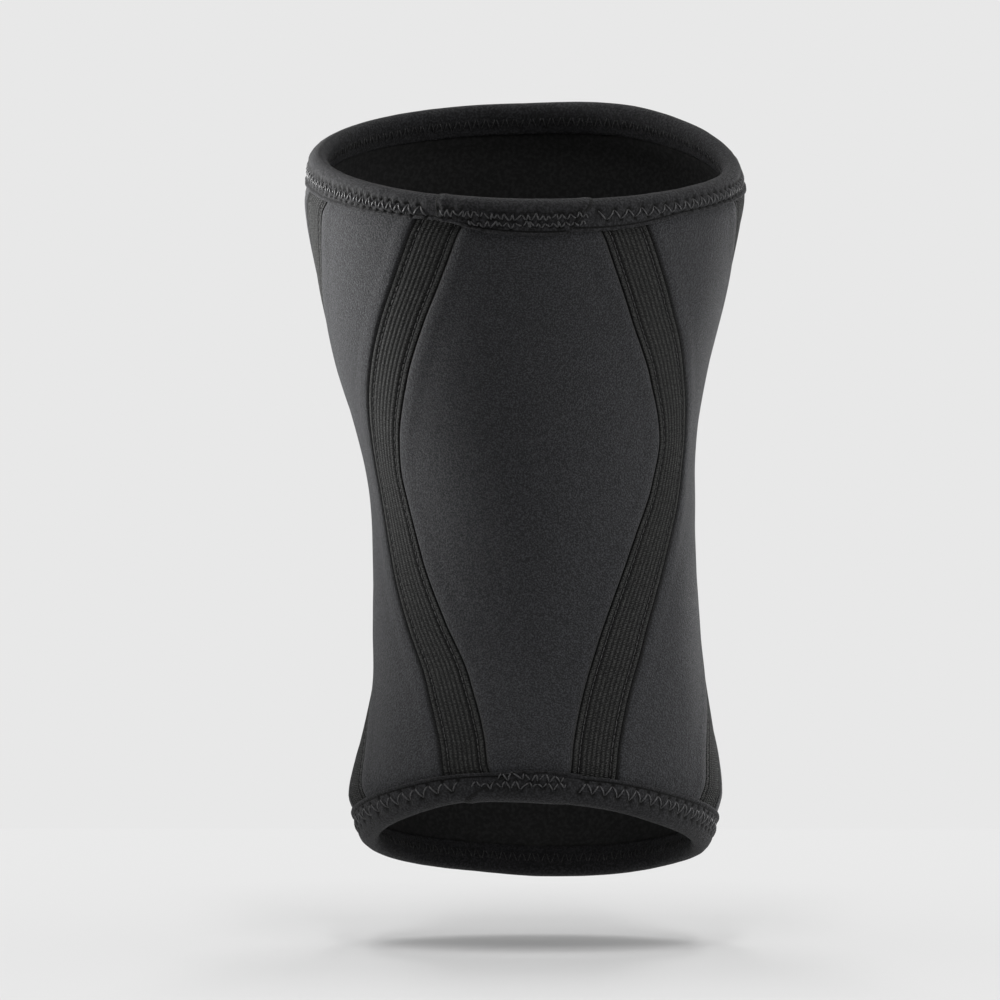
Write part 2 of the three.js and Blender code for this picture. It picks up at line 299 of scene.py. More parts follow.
def panel_across(from_seam, to_seam, height):
    """Each column's angle, its offset from the outer face and its painted shade, from seam to seam."""
    turn = 360 if from_seam == "front_right" else 0
    start, start_rate = seam_line(from_seam, height)
    stop, stop_rate = seam_line(to_seam, height)
    stop += turn
    edge = TAPE_WIDTH / 2 + TAPE_CLEARANCE
    columns = []
    # The bed under the tape takes full painted shade
    for share in BED_SHARES:
        columns.append((start + mix(SEAM_GAP / 2, edge, share) * start_rate, -TAPE_BED, 1))
    for step in EDGE_STEPS:
        columns.append((start + (edge + step) * start_rate, edge_offset(step), edge_painted_shade(step)))
    inner_start = start + (edge + EDGE_STEPS[-1]) * start_rate
    inner_stop = stop - (edge + EDGE_STEPS[-1]) * stop_rate
    for i in range(1, MIDDLE_COLUMNS):
        columns.append((mix(inner_start, inner_stop, i / MIDDLE_COLUMNS), 0, 0))
    for step in reversed(EDGE_STEPS):
        columns.append((stop - (edge + step) * stop_rate, edge_offset(step), edge_painted_shade(step)))
    for share in reversed(BED_SHARES):
        columns.append((stop - mix(SEAM_GAP / 2, edge, share) * stop_rate, -TAPE_BED, 1))
    return columns


def edge_offset(step):
    """The cut edge turns down beside the tape, with a low swelling just behind it."""
    rounding = EDGE_ROUND - math.sqrt(max(EDGE_ROUND ** 2 - (EDGE_ROUND - min(step, EDGE_ROUND)) ** 2, 0))
    return PUFF * math.sin(math.pi * min(step / PUFF_WIDTH, 1)) - rounding


# Painted shade beside the tape, where the cut edge turns down
def edge_painted_shade(step):
    return 1 - smooth(step / EDGE_ROUND / EDGE_SHADE_REACH)


def neoprene_panel(name, node, from_seam, to_seam):
    heights = panel_heights()
    across = [panel_across(from_seam, to_seam, height) for height, _ in heights]
    count = len(across[0])
    widths = []
    for (height, _), columns in zip(heights, across):
        points = [sleeve_point(height, around, -WALL / 2) for around, _, _ in columns]
        widths.append([0])
        for a, b in zip(points, points[1:]):
            widths[-1].append(widths[-1][-1] + (b - a).length)

    def place(column, row):
        height, pinch = heights[row]
        outside = column < count
        i = column if outside else 2 * count - 1 - column
        i = min(max(i, 0), count - 1)
        if column == 2 * count:
            outside, i = True, 0
        around, offset, sunk = across[row][i]
        offset = offset if outside else -WALL
        offset = mix(offset, -WALL / 2, pinch)
        middle = widths[row][-1] / 2
        uv = (widths[row][i] - middle, height)
        return sleeve_point(height, around, offset), uv, sunk if outside else 0, 0 if outside else 1

    bm = bmesh.new()
    verts = bend_grid(bm, 2 * count, len(heights) - 1, place)
    panel = strip_piece(name, bm, verts, [JERSEY, LINING])
    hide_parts(node)
    total = sum((upper[-1] + lower[-1]) / 2 * (high[0] - low[0])
                for upper, lower, high, low in zip(widths[1:], widths, heights[1:], heights))
    declare_sheet(max(row[-1] for row in widths), THIGH_LENGTH + CALF_LENGTH, total)


def declare_sheet(width, length, area=None):
    """Works out the area of the piece's cloth lying flat, at most its width times its length, and keeps
    nothing.
    """
    area = min(area, width * length) if area else None


# Ribbed seam tapes

# How far below the rim the tape ends, samples per rib, the ribs' fullness, and the most painted shade in the
# hollows between ribs
TAPE_DEPTH_BELOW_RIM = 0.0012
RIB_SAMPLES = 8
RIB_FULLNESS = 0.6
RIB_SHADE = 0.85
# One side of the tape: distance inwards from its edge, offset of the top and painted shade, darkest at the
# edge and in the groove
TAPE_SIDE = [
    (0, -0.00035, 0.8), (0.0001, -0.0001, 0.4), (0.0004, 0, 0.1), (TAPE_LIP - 0.0004, 0, 0.1),
    (TAPE_LIP, -0.00012, 0.6), (TAPE_LIP + TAPE_GROOVE * 0.3, -TAPE_GROOVE_DEPTH, 1),
    (TAPE_LIP + TAPE_GROOVE * 0.7, -TAPE_GROOVE_DEPTH, 1),
]


def tape_outline():
    """Across the tape from edge to edge: distance from the seam, offset of the top and painted shade."""
    half = TAPE_WIDTH / 2
    ribbed = half - TAPE_LIP - TAPE_GROOVE
    side = [(half - inset, top, sunk) for inset, top, sunk in TAPE_SIDE]
    ribs = []
    samples = TAPE_RIBS * RIB_SAMPLES
    for i in range(samples + 1):
        rise = 0.5 - 0.5 * math.cos(2 * math.pi * i / RIB_SAMPLES)
        across = ribbed - 2 * ribbed * i / samples
        ribs.append((across, -TAPE_RIB_DEPTH * (1 - rise ** RIB_FULLNESS), RIB_SHADE * (1 - rise)))
    return side + ribs + [(-across, top, sunk) for across, top, sunk in reversed(side)]


def seam_tape(name, node, seam):
    outline = tape_outline()
    count = len(outline)
    low = -CALF_LENGTH + TAPE_DEPTH_BELOW_RIM
    high = THIGH_LENGTH - TAPE_DEPTH_BELOW_RIM
    steps = round((high - low) / ROW_STEP)
    heights = [low] + [mix(low, high, i / steps) for i in range(steps + 1)] + [high]

    def place(column, row):
        height = heights[row]
        outside = column < count or column == 2 * count
        i = column % (2 * count)
        i = i if i < count else 2 * count - 1 - i
        across, top, sunk = outline[i]
        offset = -TAPE_SINK + (top if outside else -TAPE_THICKNESS)
        if row in (0, len(heights) - 1):
            offset = -TAPE_SINK - TAPE_THICKNESS / 2
        around = beside_seam(seam, height, across)
        return sleeve_point(height, around, offset), (across, height), sunk, 0

    bm = bmesh.new()
    verts = bend_grid(bm, 2 * count, len(heights) - 1, place)
    tape = strip_piece(name, bm, verts, [RIBBED])
    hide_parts(node)
    length = 0
    line = [sleeve_point(height, beside_seam(seam, height, 0), 0) for height in heights]
    for a, b in zip(line, line[1:]):
        length += (b - a).length
    declare_sheet(TAPE_WIDTH, length)


# Thread laid on the cloth

# Radius of each thread, how high its centre lies on the cloth as a share of that, and how round it is drawn
TAPE_THREAD = 0.00018
ZIGZAG_THREAD = 0.00025
THREAD_SEAT = 0.6
THREAD_SMOOTHNESS = 1


def sewn_thread(name, runs, radius, material):
    """One mesh of round thread along each run of points."""
    curve = bpy.data.curves.new(name, "CURVE")
    curve.dimensions = "3D"
    curve.bevel_depth = radius
    curve.bevel_resolution = THREAD_SMOOTHNESS
    curve.use_fill_caps = True
    for run in runs:
        spline = curve.splines.new("POLY")
        spline.points.add(len(run) - 1)
        for point, co in zip(spline.points, run):
            point.co = (*co, 1)
    drawn = bpy.data.objects.new(name + "_line", curve)
    bpy.context.scene.collection.objects.link(drawn)
    depsgraph = bpy.context.evaluated_depsgraph_get()
    mesh = bpy.data.meshes.new_from_object(drawn.evaluated_get(depsgraph))
    bpy.data.objects.remove(drawn)
    bm = bmesh.new()
    bm.from_mesh(mesh)
    bpy.data.meshes.remove(mesh)
    finish_piece(name, bm, [material])


TAPE_STITCH = 0.0026
TAPE_STITCH_GAP = 0.0005
TAPE_STITCH_INSET = 0.008
TAPE_STITCH_DRIFT = 0.00012
# Along a stitch: share of its length, and how far the thread rises from its seat
STITCH_SHAPE = [(0, -0.0002), (0.15, 0.00008), (0.5, 0.00016), (0.85, 0.00008), (1, -0.0002)]


def tape_stitches(name, seam):
    """A row of stitches in the groove along each side of the tape."""
    runs = []
    groove = TAPE_WIDTH / 2 - TAPE_LIP - TAPE_GROOVE / 2
    floor = -TAPE_SINK - TAPE_GROOVE_DEPTH + TAPE_THREAD * THREAD_SEAT
    for side in (-1, 1):
        height = -CALF_LENGTH + TAPE_STITCH_INSET
        while height < THIGH_LENGTH - TAPE_STITCH_INSET:
            drift = random.uniform(-TAPE_STITCH_DRIFT, TAPE_STITCH_DRIFT)
            run = []
            for share, rise in STITCH_SHAPE:
                at = height + share * TAPE_STITCH
                around = beside_seam(seam, at, side * groove + drift * (share - 0.5))
                run.append(sleeve_point(at, around, floor + rise))
            runs.append(run)
            height += TAPE_STITCH + TAPE_STITCH_GAP
    sewn_thread(name, runs, TAPE_THREAD, TAPE_STITCHING)


# Folded bindings

# The hem from its cut edge: distance from the edge, rise and painted shade, at the cut edge and darkest in
# its groove
HEM = [(0, -0.0002, 0.7), (0.00025, 0.0002, 0), (0.0007, 0.0003, 0), (0.0011, 0.0001, 0),
       (0.0014, -0.0004, 1), (0.0017, -0.0004, 1), (0.0021, 0, 0.1)]
# Rows down the outer leg of the fold, over the rim and down the inner leg
OUTER_ROWS = 14
ROLL_ROWS = 12
INNER_ROWS = 8
# The lap's height above the strip, the length over which a crisp end rises to it, and what share of it is
# pressed down at a crisp end and at a soft one
LAP_RISE = 0.00045
CRISP = 0.0008
CRISP_PRESS = 0.3
SOFT_PRESS = 0.9
# The low fold beside a crisp end, and the width of the painted shadow beside that end
END_FOLD = 0.00025
END_FOLD_PLACE = 0.0030
END_FOLD_WIDTH = 0.0010
END_SHADE = 0.0013


class Binding:
    """One opening's binding: a strip folded over the rim, whose two ends lap at the rear centre."""

    def __init__(self, name, end, edges, lap, slants, fades, pitches, lap_pitch):
        self.name = name
        self.end = end
        self.edges = edges
        self.lap = lap
        self.slants = slants
        self.fades = fades
        self.pitches = pitches
        self.lap_pitch = lap_pitch
        self.length = end_length(end)
        self.rate = degrees_per_metre(end * self.length, 0)
        self.round = 360 / self.rate

    def point(self, side, depth, offset):
        """side is measured from the rear centre round the rim, and depth down from the rim."""
        return sleeve_point(self.end * (self.length - depth), side * self.rate, offset)

    def face(self, gap, reach):
        """Across the strip from its outer edge over the rim to its inner edge, as depths and offsets."""
        radius = WALL / 2 + gap
        flat = reach - HEM[-1][0]
        path = [(reach - step, gap) for step, _, _ in HEM]
        for i in range(1, OUTER_ROWS + 1):
            path.append((mix(flat, WALL / 2, i / OUTER_ROWS), gap))
        for i in range(1, ROLL_ROWS):
            turn = math.pi * i / ROLL_ROWS
            path.append((WALL / 2 - radius * math.sin(turn), -WALL / 2 + radius * math.cos(turn)))
        for i in range(INNER_ROWS + 1):
            path.append((mix(WALL / 2, BINDING_INNER_REACH, i / INNER_ROWS), -WALL - gap))
        return path

    def pressed(self, from_start, from_stop):
        """How far the lap is pressed into the strip below it, near its two ends."""
        press = 0
        fold = 0
        for distance, fade in zip((from_start, from_stop), self.fades):
            firmness = CRISP_PRESS if fade == CRISP else SOFT_PRESS
            press = max(press, firmness * (1 - smooth(distance / fade)))
            if fade == CRISP:
                fold += END_FOLD * math.exp(-((distance - END_FOLD_PLACE) / END_FOLD_WIDTH) ** 2)
        return LAP_RISE * press - fold

    def end_shade(self, from_start, from_stop, reach):
        """1 beside a crisp end of the lap, where a fine shadow is painted, and 0 elsewhere."""
        for distance, fade, slant in zip((from_start, from_stop), self.fades, self.slants):
            if fade == CRISP and distance * reach / math.hypot(reach, slant) < END_SHADE:
                return 1
        return 0

    def lap_lift(self, side, depth):
        """How far the lap's face stands above the strip's at a place."""
        share = depth / self.edges.at("lap", side)
        start = self.lap[0] + self.slants[0] * share
        stop = self.lap[1] + self.slants[1] * share
        return LAP_RISE - self.pressed(side - start, stop - side)


# For each binding: how far the strip and its lap reach down at places round from the rear centre, where the
# lap starts and stops, how far each of its ends slants from rim to hem, over what length each end rises, the
# pitch of the zigzag round the strip, and its pitch on the lap
TOP = Binding(
    "top_binding", 1,
    Table("side strip lap", [
        (-0.260, 0.0100, 0.0100), (-0.100, 0.0100, 0.0100), (-0.080, 0.0100, 0.0095),
        (-0.050, 0.0091, 0.0086), (-0.034, 0.0083, 0.0084), (-0.026, 0.0084, 0.0088),
        (-0.020, 0.0086, 0.0103), (-0.012, 0.0092, 0.0119), (0.000, 0.0100, 0.0127),
        (0.010, 0.0108, 0.0127), (0.016, 0.0113, 0.0122), (0.029, 0.0117, 0.0118),
        (0.042, 0.0111, 0.0113), (0.061, 0.0092, 0.0100), (0.085, 0.0091, 0.0100),
        (0.120, 0.0098, 0.0100), (0.260, 0.0100, 0.0100),
    ]),
    lap=(-0.033, 0.025), slants=(0.0015, -0.0095), fades=(CRISP, CRISP),
    pitches=Table("side pitch", [
        (-0.24, 0.0040), (-0.09, 0.0036), (-0.05, 0.0036), (-0.038, 0.0058), (0.03, 0.0056),
        (0.055, 0.0050), (0.09, 0.0042), (0.24, 0.0040),
    ]),
    lap_pitch=0.0026,
)
BOTTOM = Binding(
    "bottom_binding", -1,
    Table("side strip lap", [
        (-0.240, 0.0100, 0.0100), (-0.030, 0.0100, 0.0100), (-0.010, 0.0100, 0.0104),
        (0.005, 0.0100, 0.0110), (0.020, 0.0100, 0.0102), (0.240, 0.0100, 0.0100),
    ]),
    lap=(-0.025, 0.013), slants=(0.018, 0.003), fades=(CRISP, 0.007),
    pitches=Table("side pitch", [
        (-0.24, 0.0044), (-0.12, 0.0066), (-0.05, 0.0064), (-0.02, 0.0056), (0.02, 0.0050),
        (0.05, 0.0048), (0.24, 0.0044),
    ]),
    lap_pitch=0.0034,
)

# Depths between which each row of zigzag runs
SINGLE_ROW = (0.0030, 0.0074)
LAP_ROWS = ((0.0034, 0.0062), (0.0070, 0.0095))
INSIDE_ROW = (0.0022, 0.0068)
INSIDE_PITCH = 0.0040
# How far inside the lap's start and stop each of its rows begins and ends, and how far outside them the row
# round the strip does
LAP_INSETS = ((0.0025, 0.001), (0.0125, 0.003))
SINGLE_INSETS = (0.001, 0.002)
# Care taken over a row: how far a hole strays, how uneven the pitch is, how deep a stitch may sink
NEAT = (0.00022, 0.08, 0.0001)
MESSY = (0.0008, 0.45, 0.0004)


def needle_places(start, stop, pitch_at, depths, care):
    """Where the needle went in, high and low in turn, as (side, depth)."""
    jitter, uneven, _ = care
    places = []
    side = start
    while side < stop:
        depth = depths[len(places) % 2]
        places.append((side + random.uniform(-1, 1) * jitter, depth + random.uniform(-1, 1) * jitter))
        side += pitch_at(side) / 2 * random.uniform(1 - uneven, 1 + uneven)
    return places


# From hole to hole: share of the way, and how far the thread rises from its seat
LAY_SHAPE = [
    (0, -0.0012), (0.12, -0.0006), (0.28, 0.00002), (0.5, 0.00026), (0.72, 0.00002), (0.88, -0.0006),
]


def zigzag_run(binding, places, offset_at, care, outwards=1):
    """The thread's path from needle hole to needle hole."""
    run = []
    for (side, depth), (next_side, next_depth) in zip(places, places[1:]):
        sunk = random.uniform(0, care[2])
        for share, rise in LAY_SHAPE:
            at_side = mix(side, next_side, share)
            at_depth = mix(depth, next_depth, share)
            offset = offset_at(at_side, at_depth) + outwards * (rise - sunk)
            run.append(binding.point(at_side, at_depth, offset))
    return run


def steady(value):
    """A function that gives the same value everywhere."""
    def value_at(*place):
        return value
    return value_at


def binding_sewing(binding):
    """All needle places of a binding, by the layer that they pass through."""
    lap_start, lap_stop = binding.lap
    half = binding.round / 2

    def pitch_at(side):
        return binding.pitches.at("pitch", (side + half) % binding.round - half)

    # one row all round, from the right end of the lap to its left end
    single_stop = binding.round + lap_start - SINGLE_INSETS[0]
    single = needle_places(lap_stop + SINGLE_INSETS[1], single_stop, pitch_at, SINGLE_ROW, NEAT)
    lap_pitch = steady(binding.lap_pitch)
    on_lap = []
    for depths, (after_start, before_stop) in zip(LAP_ROWS, LAP_INSETS):
        stop = lap_stop - before_stop
        on_lap.append(needle_places(lap_start + after_start, stop, lap_pitch, depths, MESSY))
    inside = needle_places(-half, half, steady(INSIDE_PITCH), INSIDE_ROW, NEAT)
    return {"single": single, "lap": on_lap, "inside": inside}


# The pit round a needle's hole: its depth, its radius in the high and low rows, and how strong its shade is
PIT_DEPTH = 0.00065
HIGH_PIT = 0.0011
LOW_PIT = 0.0007
PIT_SHADE = 2


def pit_finder(places):
    """A function that gives how deep a place lies in a needle's pit, from 0 to 1."""
    tree = kdtree.KDTree(len(places))
    for i, (side, depth) in enumerate(places):
        tree.insert((side, depth, 0), i)
    tree.balance()
    middle = sum(SINGLE_ROW) / 2

    def depth_at(side, depth):
        hole, _, distance = tree.find((side, depth, 0))
        radius = HIGH_PIT if hole.y < middle else LOW_PIT
        return math.exp(-(distance / radius) ** 2)

    return depth_at


# Low waves of the strip: their height, how many there are in a metre along and across it, and how far apart
# the strip, its lap and the two bindings lie in the noise
STRIP_WAVE = 0.00022
WAVES_ALONG = 160
WAVES_ACROSS = 220
LAP_STEP = 9
END_STEP = 31
# The inner face takes one row in so many
INSIDE_STRIDE = 3


def add_strip(bm, binding, lapped, span, columns, pits):
    """Adds one run of the folded strip: the ring round the whole rim, or the lap on top of it. Gives the
    width of its outer face, from edge to edge over the fold."""
    start, stop = span
    slants = binding.slants if lapped else (0, 0)
    gap = BINDING_CLEARANCE + (LAP_RISE if lapped else 0)
    edge = "lap" if lapped else "strip"
    outer = []
    inner = []
    for column in range(columns + 1):
        share = column / columns
        sunk = binding.pressed(share * (stop - start), (1 - share) * (stop - start)) if lapped else 0
        reach = binding.edges.at(edge, mix(start + slants[0], stop + slants[1], share))
        outer.append(binding.face(gap + BINDING_THICKNESS - sunk, reach))
        inner.append(binding.face(gap - sunk, reach))
    count = len(outer[0])
    rows = [(i, True) for i in range(count)]
    rows += [(i, False) for i in reversed(range(0, count, INSIDE_STRIDE))]
    length = [0]
    for (depth, offset), (next_depth, next_offset) in zip(outer[0], outer[0][1:]):
        length.append(length[-1] + math.hypot(next_depth - depth, next_offset - offset))

    def place(column, row):
        i, outside = rows[row % len(rows)]
        reach = outer[column][0][0]
        depth, offset = (outer if outside else inner)[column][i]
        slant = depth / reach
        side = mix(start + slants[0] * slant, stop + slants[1] * slant, column / columns)
        # Painted shade: full on the lap's closed ends, in the needle pits, along the hem and beside a crisp
        # end of the lap
        shade = 0
        if lapped and column in (0, columns):
            offset = (outer[column][i][1] + inner[column][i][1]) / 2
            depth = (outer[column][i][0] + inner[column][i][0]) / 2
            shade = 1
        elif outside:
            on_outer_leg = offset > -WALL / 2
            pit = pits(side, depth) if on_outer_leg else 0
            rise, hem_shade = HEM[i][1:] if i < len(HEM) else (0, 0)
            layer = LAP_STEP * lapped + binding.end * END_STEP
            rough = noise.noise(Vector((side * WAVES_ALONG, depth * WAVES_ACROSS, layer)))
            lift = rough * STRIP_WAVE - pit * PIT_DEPTH + rise
            offset += lift if on_outer_leg else -lift
            shade = min(1, pit * PIT_SHADE + hem_shade)
            if lapped:
                along = column / columns * (stop - start)
                shade = max(shade, binding.end_shade(along, stop - start - along, reach))
        return binding.point(side, depth, offset), (side, length[i]), shade, 0

    verts = bend_grid(bm, columns, len(rows), place)
    bmesh.ops.remove_doubles(bm, verts=verts, dist=MERGE)
    return length[-1]


COLUMN_STEP = 0.0005


def folded_binding(binding, node):
    """The strip with its lap as one piece, and the thread on its outside and on its inside as two more."""
    sewing = binding_sewing(binding)
    half = binding.round / 2
    lap_width = binding.lap[1] - binding.lap[0]
    all_round = sewing["single"] + [(side - binding.round, depth) for side, depth in sewing["single"]]
    bm = bmesh.new()
    width = add_strip(bm, binding, False, (-half, half), round(binding.round / COLUMN_STEP),
                      pit_finder(all_round))
    add_strip(bm, binding, True, binding.lap, round(lap_width / COLUMN_STEP),
              pit_finder(sewing["lap"][0] + sewing["lap"][1]))
    bmesh.ops.dissolve_degenerate(bm, edges=bm.edges, dist=SLIVER)
    piece = finish_piece(binding.name + "_fabric", bm, [STRETCH])
    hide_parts(node)
    declare_sheet(width, binding.round + lap_width)
    seat = BINDING_CLEARANCE + BINDING_THICKNESS + ZIGZAG_THREAD * THREAD_SEAT

    def above_lap(side, depth):
        return seat + binding.lap_lift(side, depth)

    runs = [zigzag_run(binding, sewing["single"], steady(seat), NEAT)]
    runs += [zigzag_run(binding, places, above_lap, MESSY) for places in sewing["lap"]]
    sewn_thread(binding.name + "_stitches", runs, ZIGZAG_THREAD, THREAD_SHINE)
    inside = [zigzag_run(binding, sewing["inside"], steady(-WALL - seat), NEAT, -1)]
    sewn_thread(binding.name + "_inner_stitches", inside, TAPE_THREAD, TAPE_STITCHING)


# Materials

def new_group(name, inputs, outputs):
    """A shader node group with named sockets. inputs are (name, type, value), outputs (name, type)."""
    group = bpy.data.node_groups.new(name, "ShaderNodeTree")
    for label, kind, value in inputs:
        socket = group.interface.new_socket(label, in_out="INPUT", socket_type=kind)
        if value is not None:
            socket.default_value = value
    for label, kind in outputs:
        group.interface.new_socket(label, in_out="OUTPUT", socket_type=kind)
    return group, group.nodes.new("NodeGroupInput"), group.nodes.new("NodeGroupOutput")


def math_node(tree, operation, first, second=None, third=None, clamp=False):
    """One sum on numbers or sockets."""
    node = tree.nodes.new("ShaderNodeMath")
    node.operation = operation
    node.use_clamp = clamp
    for socket, value in zip(node.inputs, (first, second, third)):
        if value is None:
            continue
        if isinstance(value, bpy.types.NodeSocket):
            tree.links.new(value, socket)
        else:
            socket.default_value = value
    return node.outputs[0]


def noise_value(tree, vector, scale, detail):
    node = tree.nodes.new("ShaderNodeTexNoise")
    node.inputs["Detail"].default_value = detail
    tree.links.new(vector, node.inputs["Vector"])
    if isinstance(scale, bpy.types.NodeSocket):
        tree.links.new(scale, node.inputs["Scale"])
    else:
        node.inputs["Scale"].default_value = scale
    return node.outputs["Fac"]


# The jersey's two noises: detail of each, the broad one's share of the fine one's scale, and what each gives
# to the relief and to the speckle, whose contrast is then spread by a factor and a shift
FINE_DETAIL = 3.0
BROAD_DETAIL = 2.0
BROAD_SCALE = 0.5
LOOP_RELIEF = 0.18
BROAD_RELIEF = 0.6
FINE_SPECKLE = 0.85
BROAD_SPECKLE = 0.15
SPECKLE_SPREAD = (5.0, -2.15)


def make_jersey_grain():
    """The fine grain of a knitted face: small loops in rows, blurred by irregular yarn."""
    group, given, made = new_group("jersey_grain", [
        ("Position", "NodeSocketVector", None), ("Cloth", "NodeSocketVector", None),
        ("Grain", "NodeSocketFloat", 2000.0), ("Loop", "NodeSocketFloat", 0.0006),
    ], [("Height", "NodeSocketFloat"), ("Speckle", "NodeSocketFloat")])
    split = group.nodes.new("ShaderNodeSeparateXYZ")
    group.links.new(given.outputs["Cloth"], split.inputs[0])
    fine = noise_value(group, given.outputs["Position"], given.outputs["Grain"], FINE_DETAIL)
    broad = noise_value(group, given.outputs["Position"],
                        math_node(group, "MULTIPLY", given.outputs["Grain"], BROAD_SCALE), BROAD_DETAIL)
    turn = math_node(group, "DIVIDE", 2 * math.pi, given.outputs["Loop"])
    wale = math_node(group, "SINE", math_node(group, "MULTIPLY", split.outputs["X"], turn))
    course = math_node(group, "SINE", math_node(group, "MULTIPLY", split.outputs["Y"], turn))
    loops = math_node(group, "MULTIPLY", wale, course)
    height = math_node(group, "MULTIPLY_ADD", loops, LOOP_RELIEF, fine)
    group.links.new(math_node(group, "MULTIPLY_ADD", broad, BROAD_RELIEF, height), made.inputs["Height"])
    fine_part = math_node(group, "MULTIPLY", fine, FINE_SPECKLE)
    blend = math_node(group, "MULTIPLY_ADD", broad, BROAD_SPECKLE, fine_part)
    spread = math_node(group, "MULTIPLY_ADD", blend, *SPECKLE_SPREAD, clamp=True)
    group.links.new(spread, made.inputs["Speckle"])
    return group


# The tape's knit: how far rows are out of step from rib to rib, the yarn's noise, what the rows give to the
# relief and to the tone, and how the tone's contrast is spread
RIB_SHIFT = 2.4
YARN_SCALE = 1800.0
ROW_RELIEF = 0.3
ROW_TONE = 0.09
TONE_SPREAD = (4.5, -1.85)


def make_rib_knit():
    """Knit rows across the ribs of the tape, out of step from rib to rib."""
    group, given, made = new_group("rib_knit", [
        ("Position", "NodeSocketVector", None), ("Cloth", "NodeSocketVector", None),
        ("Row", "NodeSocketFloat", 0.0007), ("Rib", "NodeSocketFloat", 0.00177),
    ], [("Height", "NodeSocketFloat"), ("Speckle", "NodeSocketFloat")])
    split = group.nodes.new("ShaderNodeSeparateXYZ")
    group.links.new(given.outputs["Cloth"], split.inputs[0])
    rib = math_node(group, "FLOOR", math_node(group, "DIVIDE", split.outputs["X"], given.outputs["Rib"]))
    shift = math_node(group, "MULTIPLY", rib, RIB_SHIFT)
    row = math_node(group, "DIVIDE", split.outputs["Y"], given.outputs["Row"])
    turns = math_node(group, "MULTIPLY", row, 2 * math.pi)
    rows = math_node(group, "SINE", math_node(group, "ADD", turns, shift))
    yarn = noise_value(group, given.outputs["Position"], YARN_SCALE, FINE_DETAIL)
    group.links.new(math_node(group, "MULTIPLY_ADD", rows, ROW_RELIEF, yarn), made.inputs["Height"])
    tone = math_node(group, "MULTIPLY_ADD", rows, ROW_TONE, yarn)
    spread = math_node(group, "MULTIPLY_ADD", tone, *TONE_SPREAD, clamp=True)
    group.links.new(spread, made.inputs["Speckle"])
    return group


JERSEY_GRAIN = make_jersey_grain()
RIB_KNIT = make_rib_knit()


def place_group(tree, group, **values):
    """Puts a group into a material, fed with the point in space and the place on the cloth."""
    node = tree.nodes.new("ShaderNodeGroup")
    node.node_tree = group
    coordinates = tree.nodes.new("ShaderNodeTexCoord")
    cloth = tree.nodes.new("ShaderNodeUVMap")
    cloth.uv_map = "cloth"
    tree.links.new(coordinates.outputs["Object"], node.inputs["Position"])
    tree.links.new(cloth.outputs["UV"], node.inputs["Cloth"])
    for name, value in values.items():
        node.inputs[name].default_value = value
    return node


def mixed_colour(tree, amount, first, second):
    node = tree.nodes.new("ShaderNodeMix")
    node.data_type = "RGBA"
    sockets = {socket.identifier: socket for socket in node.inputs}
    tree.links.new(amount, sockets["Factor_Float"])
    for key, value in (("A_Color", first), ("B_Color", second)):
        if isinstance(value, bpy.types.NodeSocket):
            tree.links.new(value, sockets[key])
        else:
            sockets[key].default_value = (*value, 1)
    return next(socket for socket in node.outputs if socket.identifier == "Result_Color")


# How much smoother the light specks of a cloth are than its dark ones
SPECKLE_SHINE = -0.12


def cloth_material(name, dark, light, painted_shade_colour, roughness, sheen, bump, group, specular, **values):
    """A fabric whose colour goes from dark to light over its grain and turns to a near-black painted shade
    where the mesh marks grooves, pits, hems and cut edges. sheen is its weight and roughness, bump its
    strength and its height in metres."""
    material = bpy.data.materials.new(name)
    material.use_nodes = True
    tree = material.node_tree
    shader = tree.nodes["Principled BSDF"]
    grain = place_group(tree, group, **values)
    colour = mixed_colour(tree, grain.outputs["Speckle"], dark, light)
    # Painted shade: the mesh's shade attribute mixes the colour towards the painted shade colour
    sunk = tree.nodes.new("ShaderNodeAttribute")
    sunk.attribute_name = "painted_shade"
    colour = mixed_colour(tree, sunk.outputs["Fac"], colour, painted_shade_colour)
    tree.links.new(colour, shader.inputs["Base Color"])
    rough = math_node(tree, "MULTIPLY_ADD", grain.outputs["Speckle"], SPECKLE_SHINE, roughness)
    tree.links.new(rough, shader.inputs["Roughness"])
    relief = tree.nodes.new("ShaderNodeBump")
    relief.inputs["Strength"].default_value = bump[0]
    relief.inputs["Distance"].default_value = bump[1]
    tree.links.new(grain.outputs["Height"], relief.inputs["Height"])
    tree.links.new(relief.outputs["Normal"], shader.inputs["Normal"])
    shader.inputs["Sheen Weight"].default_value = sheen[0]
    shader.inputs["Sheen Roughness"].default_value = sheen[1]
    shader.inputs["Specular IOR Level"].default_value = specular
    return material


# Each cloth's colours: dark and light over its grain, then the near-black painted shade for its grooves,
# pits and edges
JERSEY = cloth_material(
    "neoprene_jersey", (0.0080, 0.0082, 0.0094), (0.0330, 0.0339, 0.0384), (0.004, 0.004, 0.004),
    roughness=0.84, sheen=(0.10, 0.40), bump=(0.80, 0.0006), group=JERSEY_GRAIN, specular=0.30, Grain=1900.0)
LINING = cloth_material(
    "neoprene_lining", (0.013, 0.013, 0.013), (0.021, 0.021, 0.021), (0.006, 0.006, 0.006),
    roughness=0.85, sheen=(0.05, 0.5), bump=(0.3, 0.0003), group=JERSEY_GRAIN, specular=0.2, Grain=700.0)
RIBBED = cloth_material(
    "ribbed_tape", (0.005, 0.0051, 0.005), (0.046, 0.047, 0.045), (0.0012, 0.0012, 0.0012),
    roughness=0.90, sheen=(0.04, 0.5), bump=(0.8, 0.0005), group=RIB_KNIT, specular=0.20)
STRETCH = cloth_material(
    "binding_stretch", (0.007, 0.007, 0.0078), (0.023, 0.023, 0.0255), (0.001, 0.001, 0.001),
    roughness=0.82, sheen=(0.06, 0.4), bump=(0.8, 0.0005), group=JERSEY_GRAIN, specular=0.22,
    Grain=1300.0, Loop=0.0005)
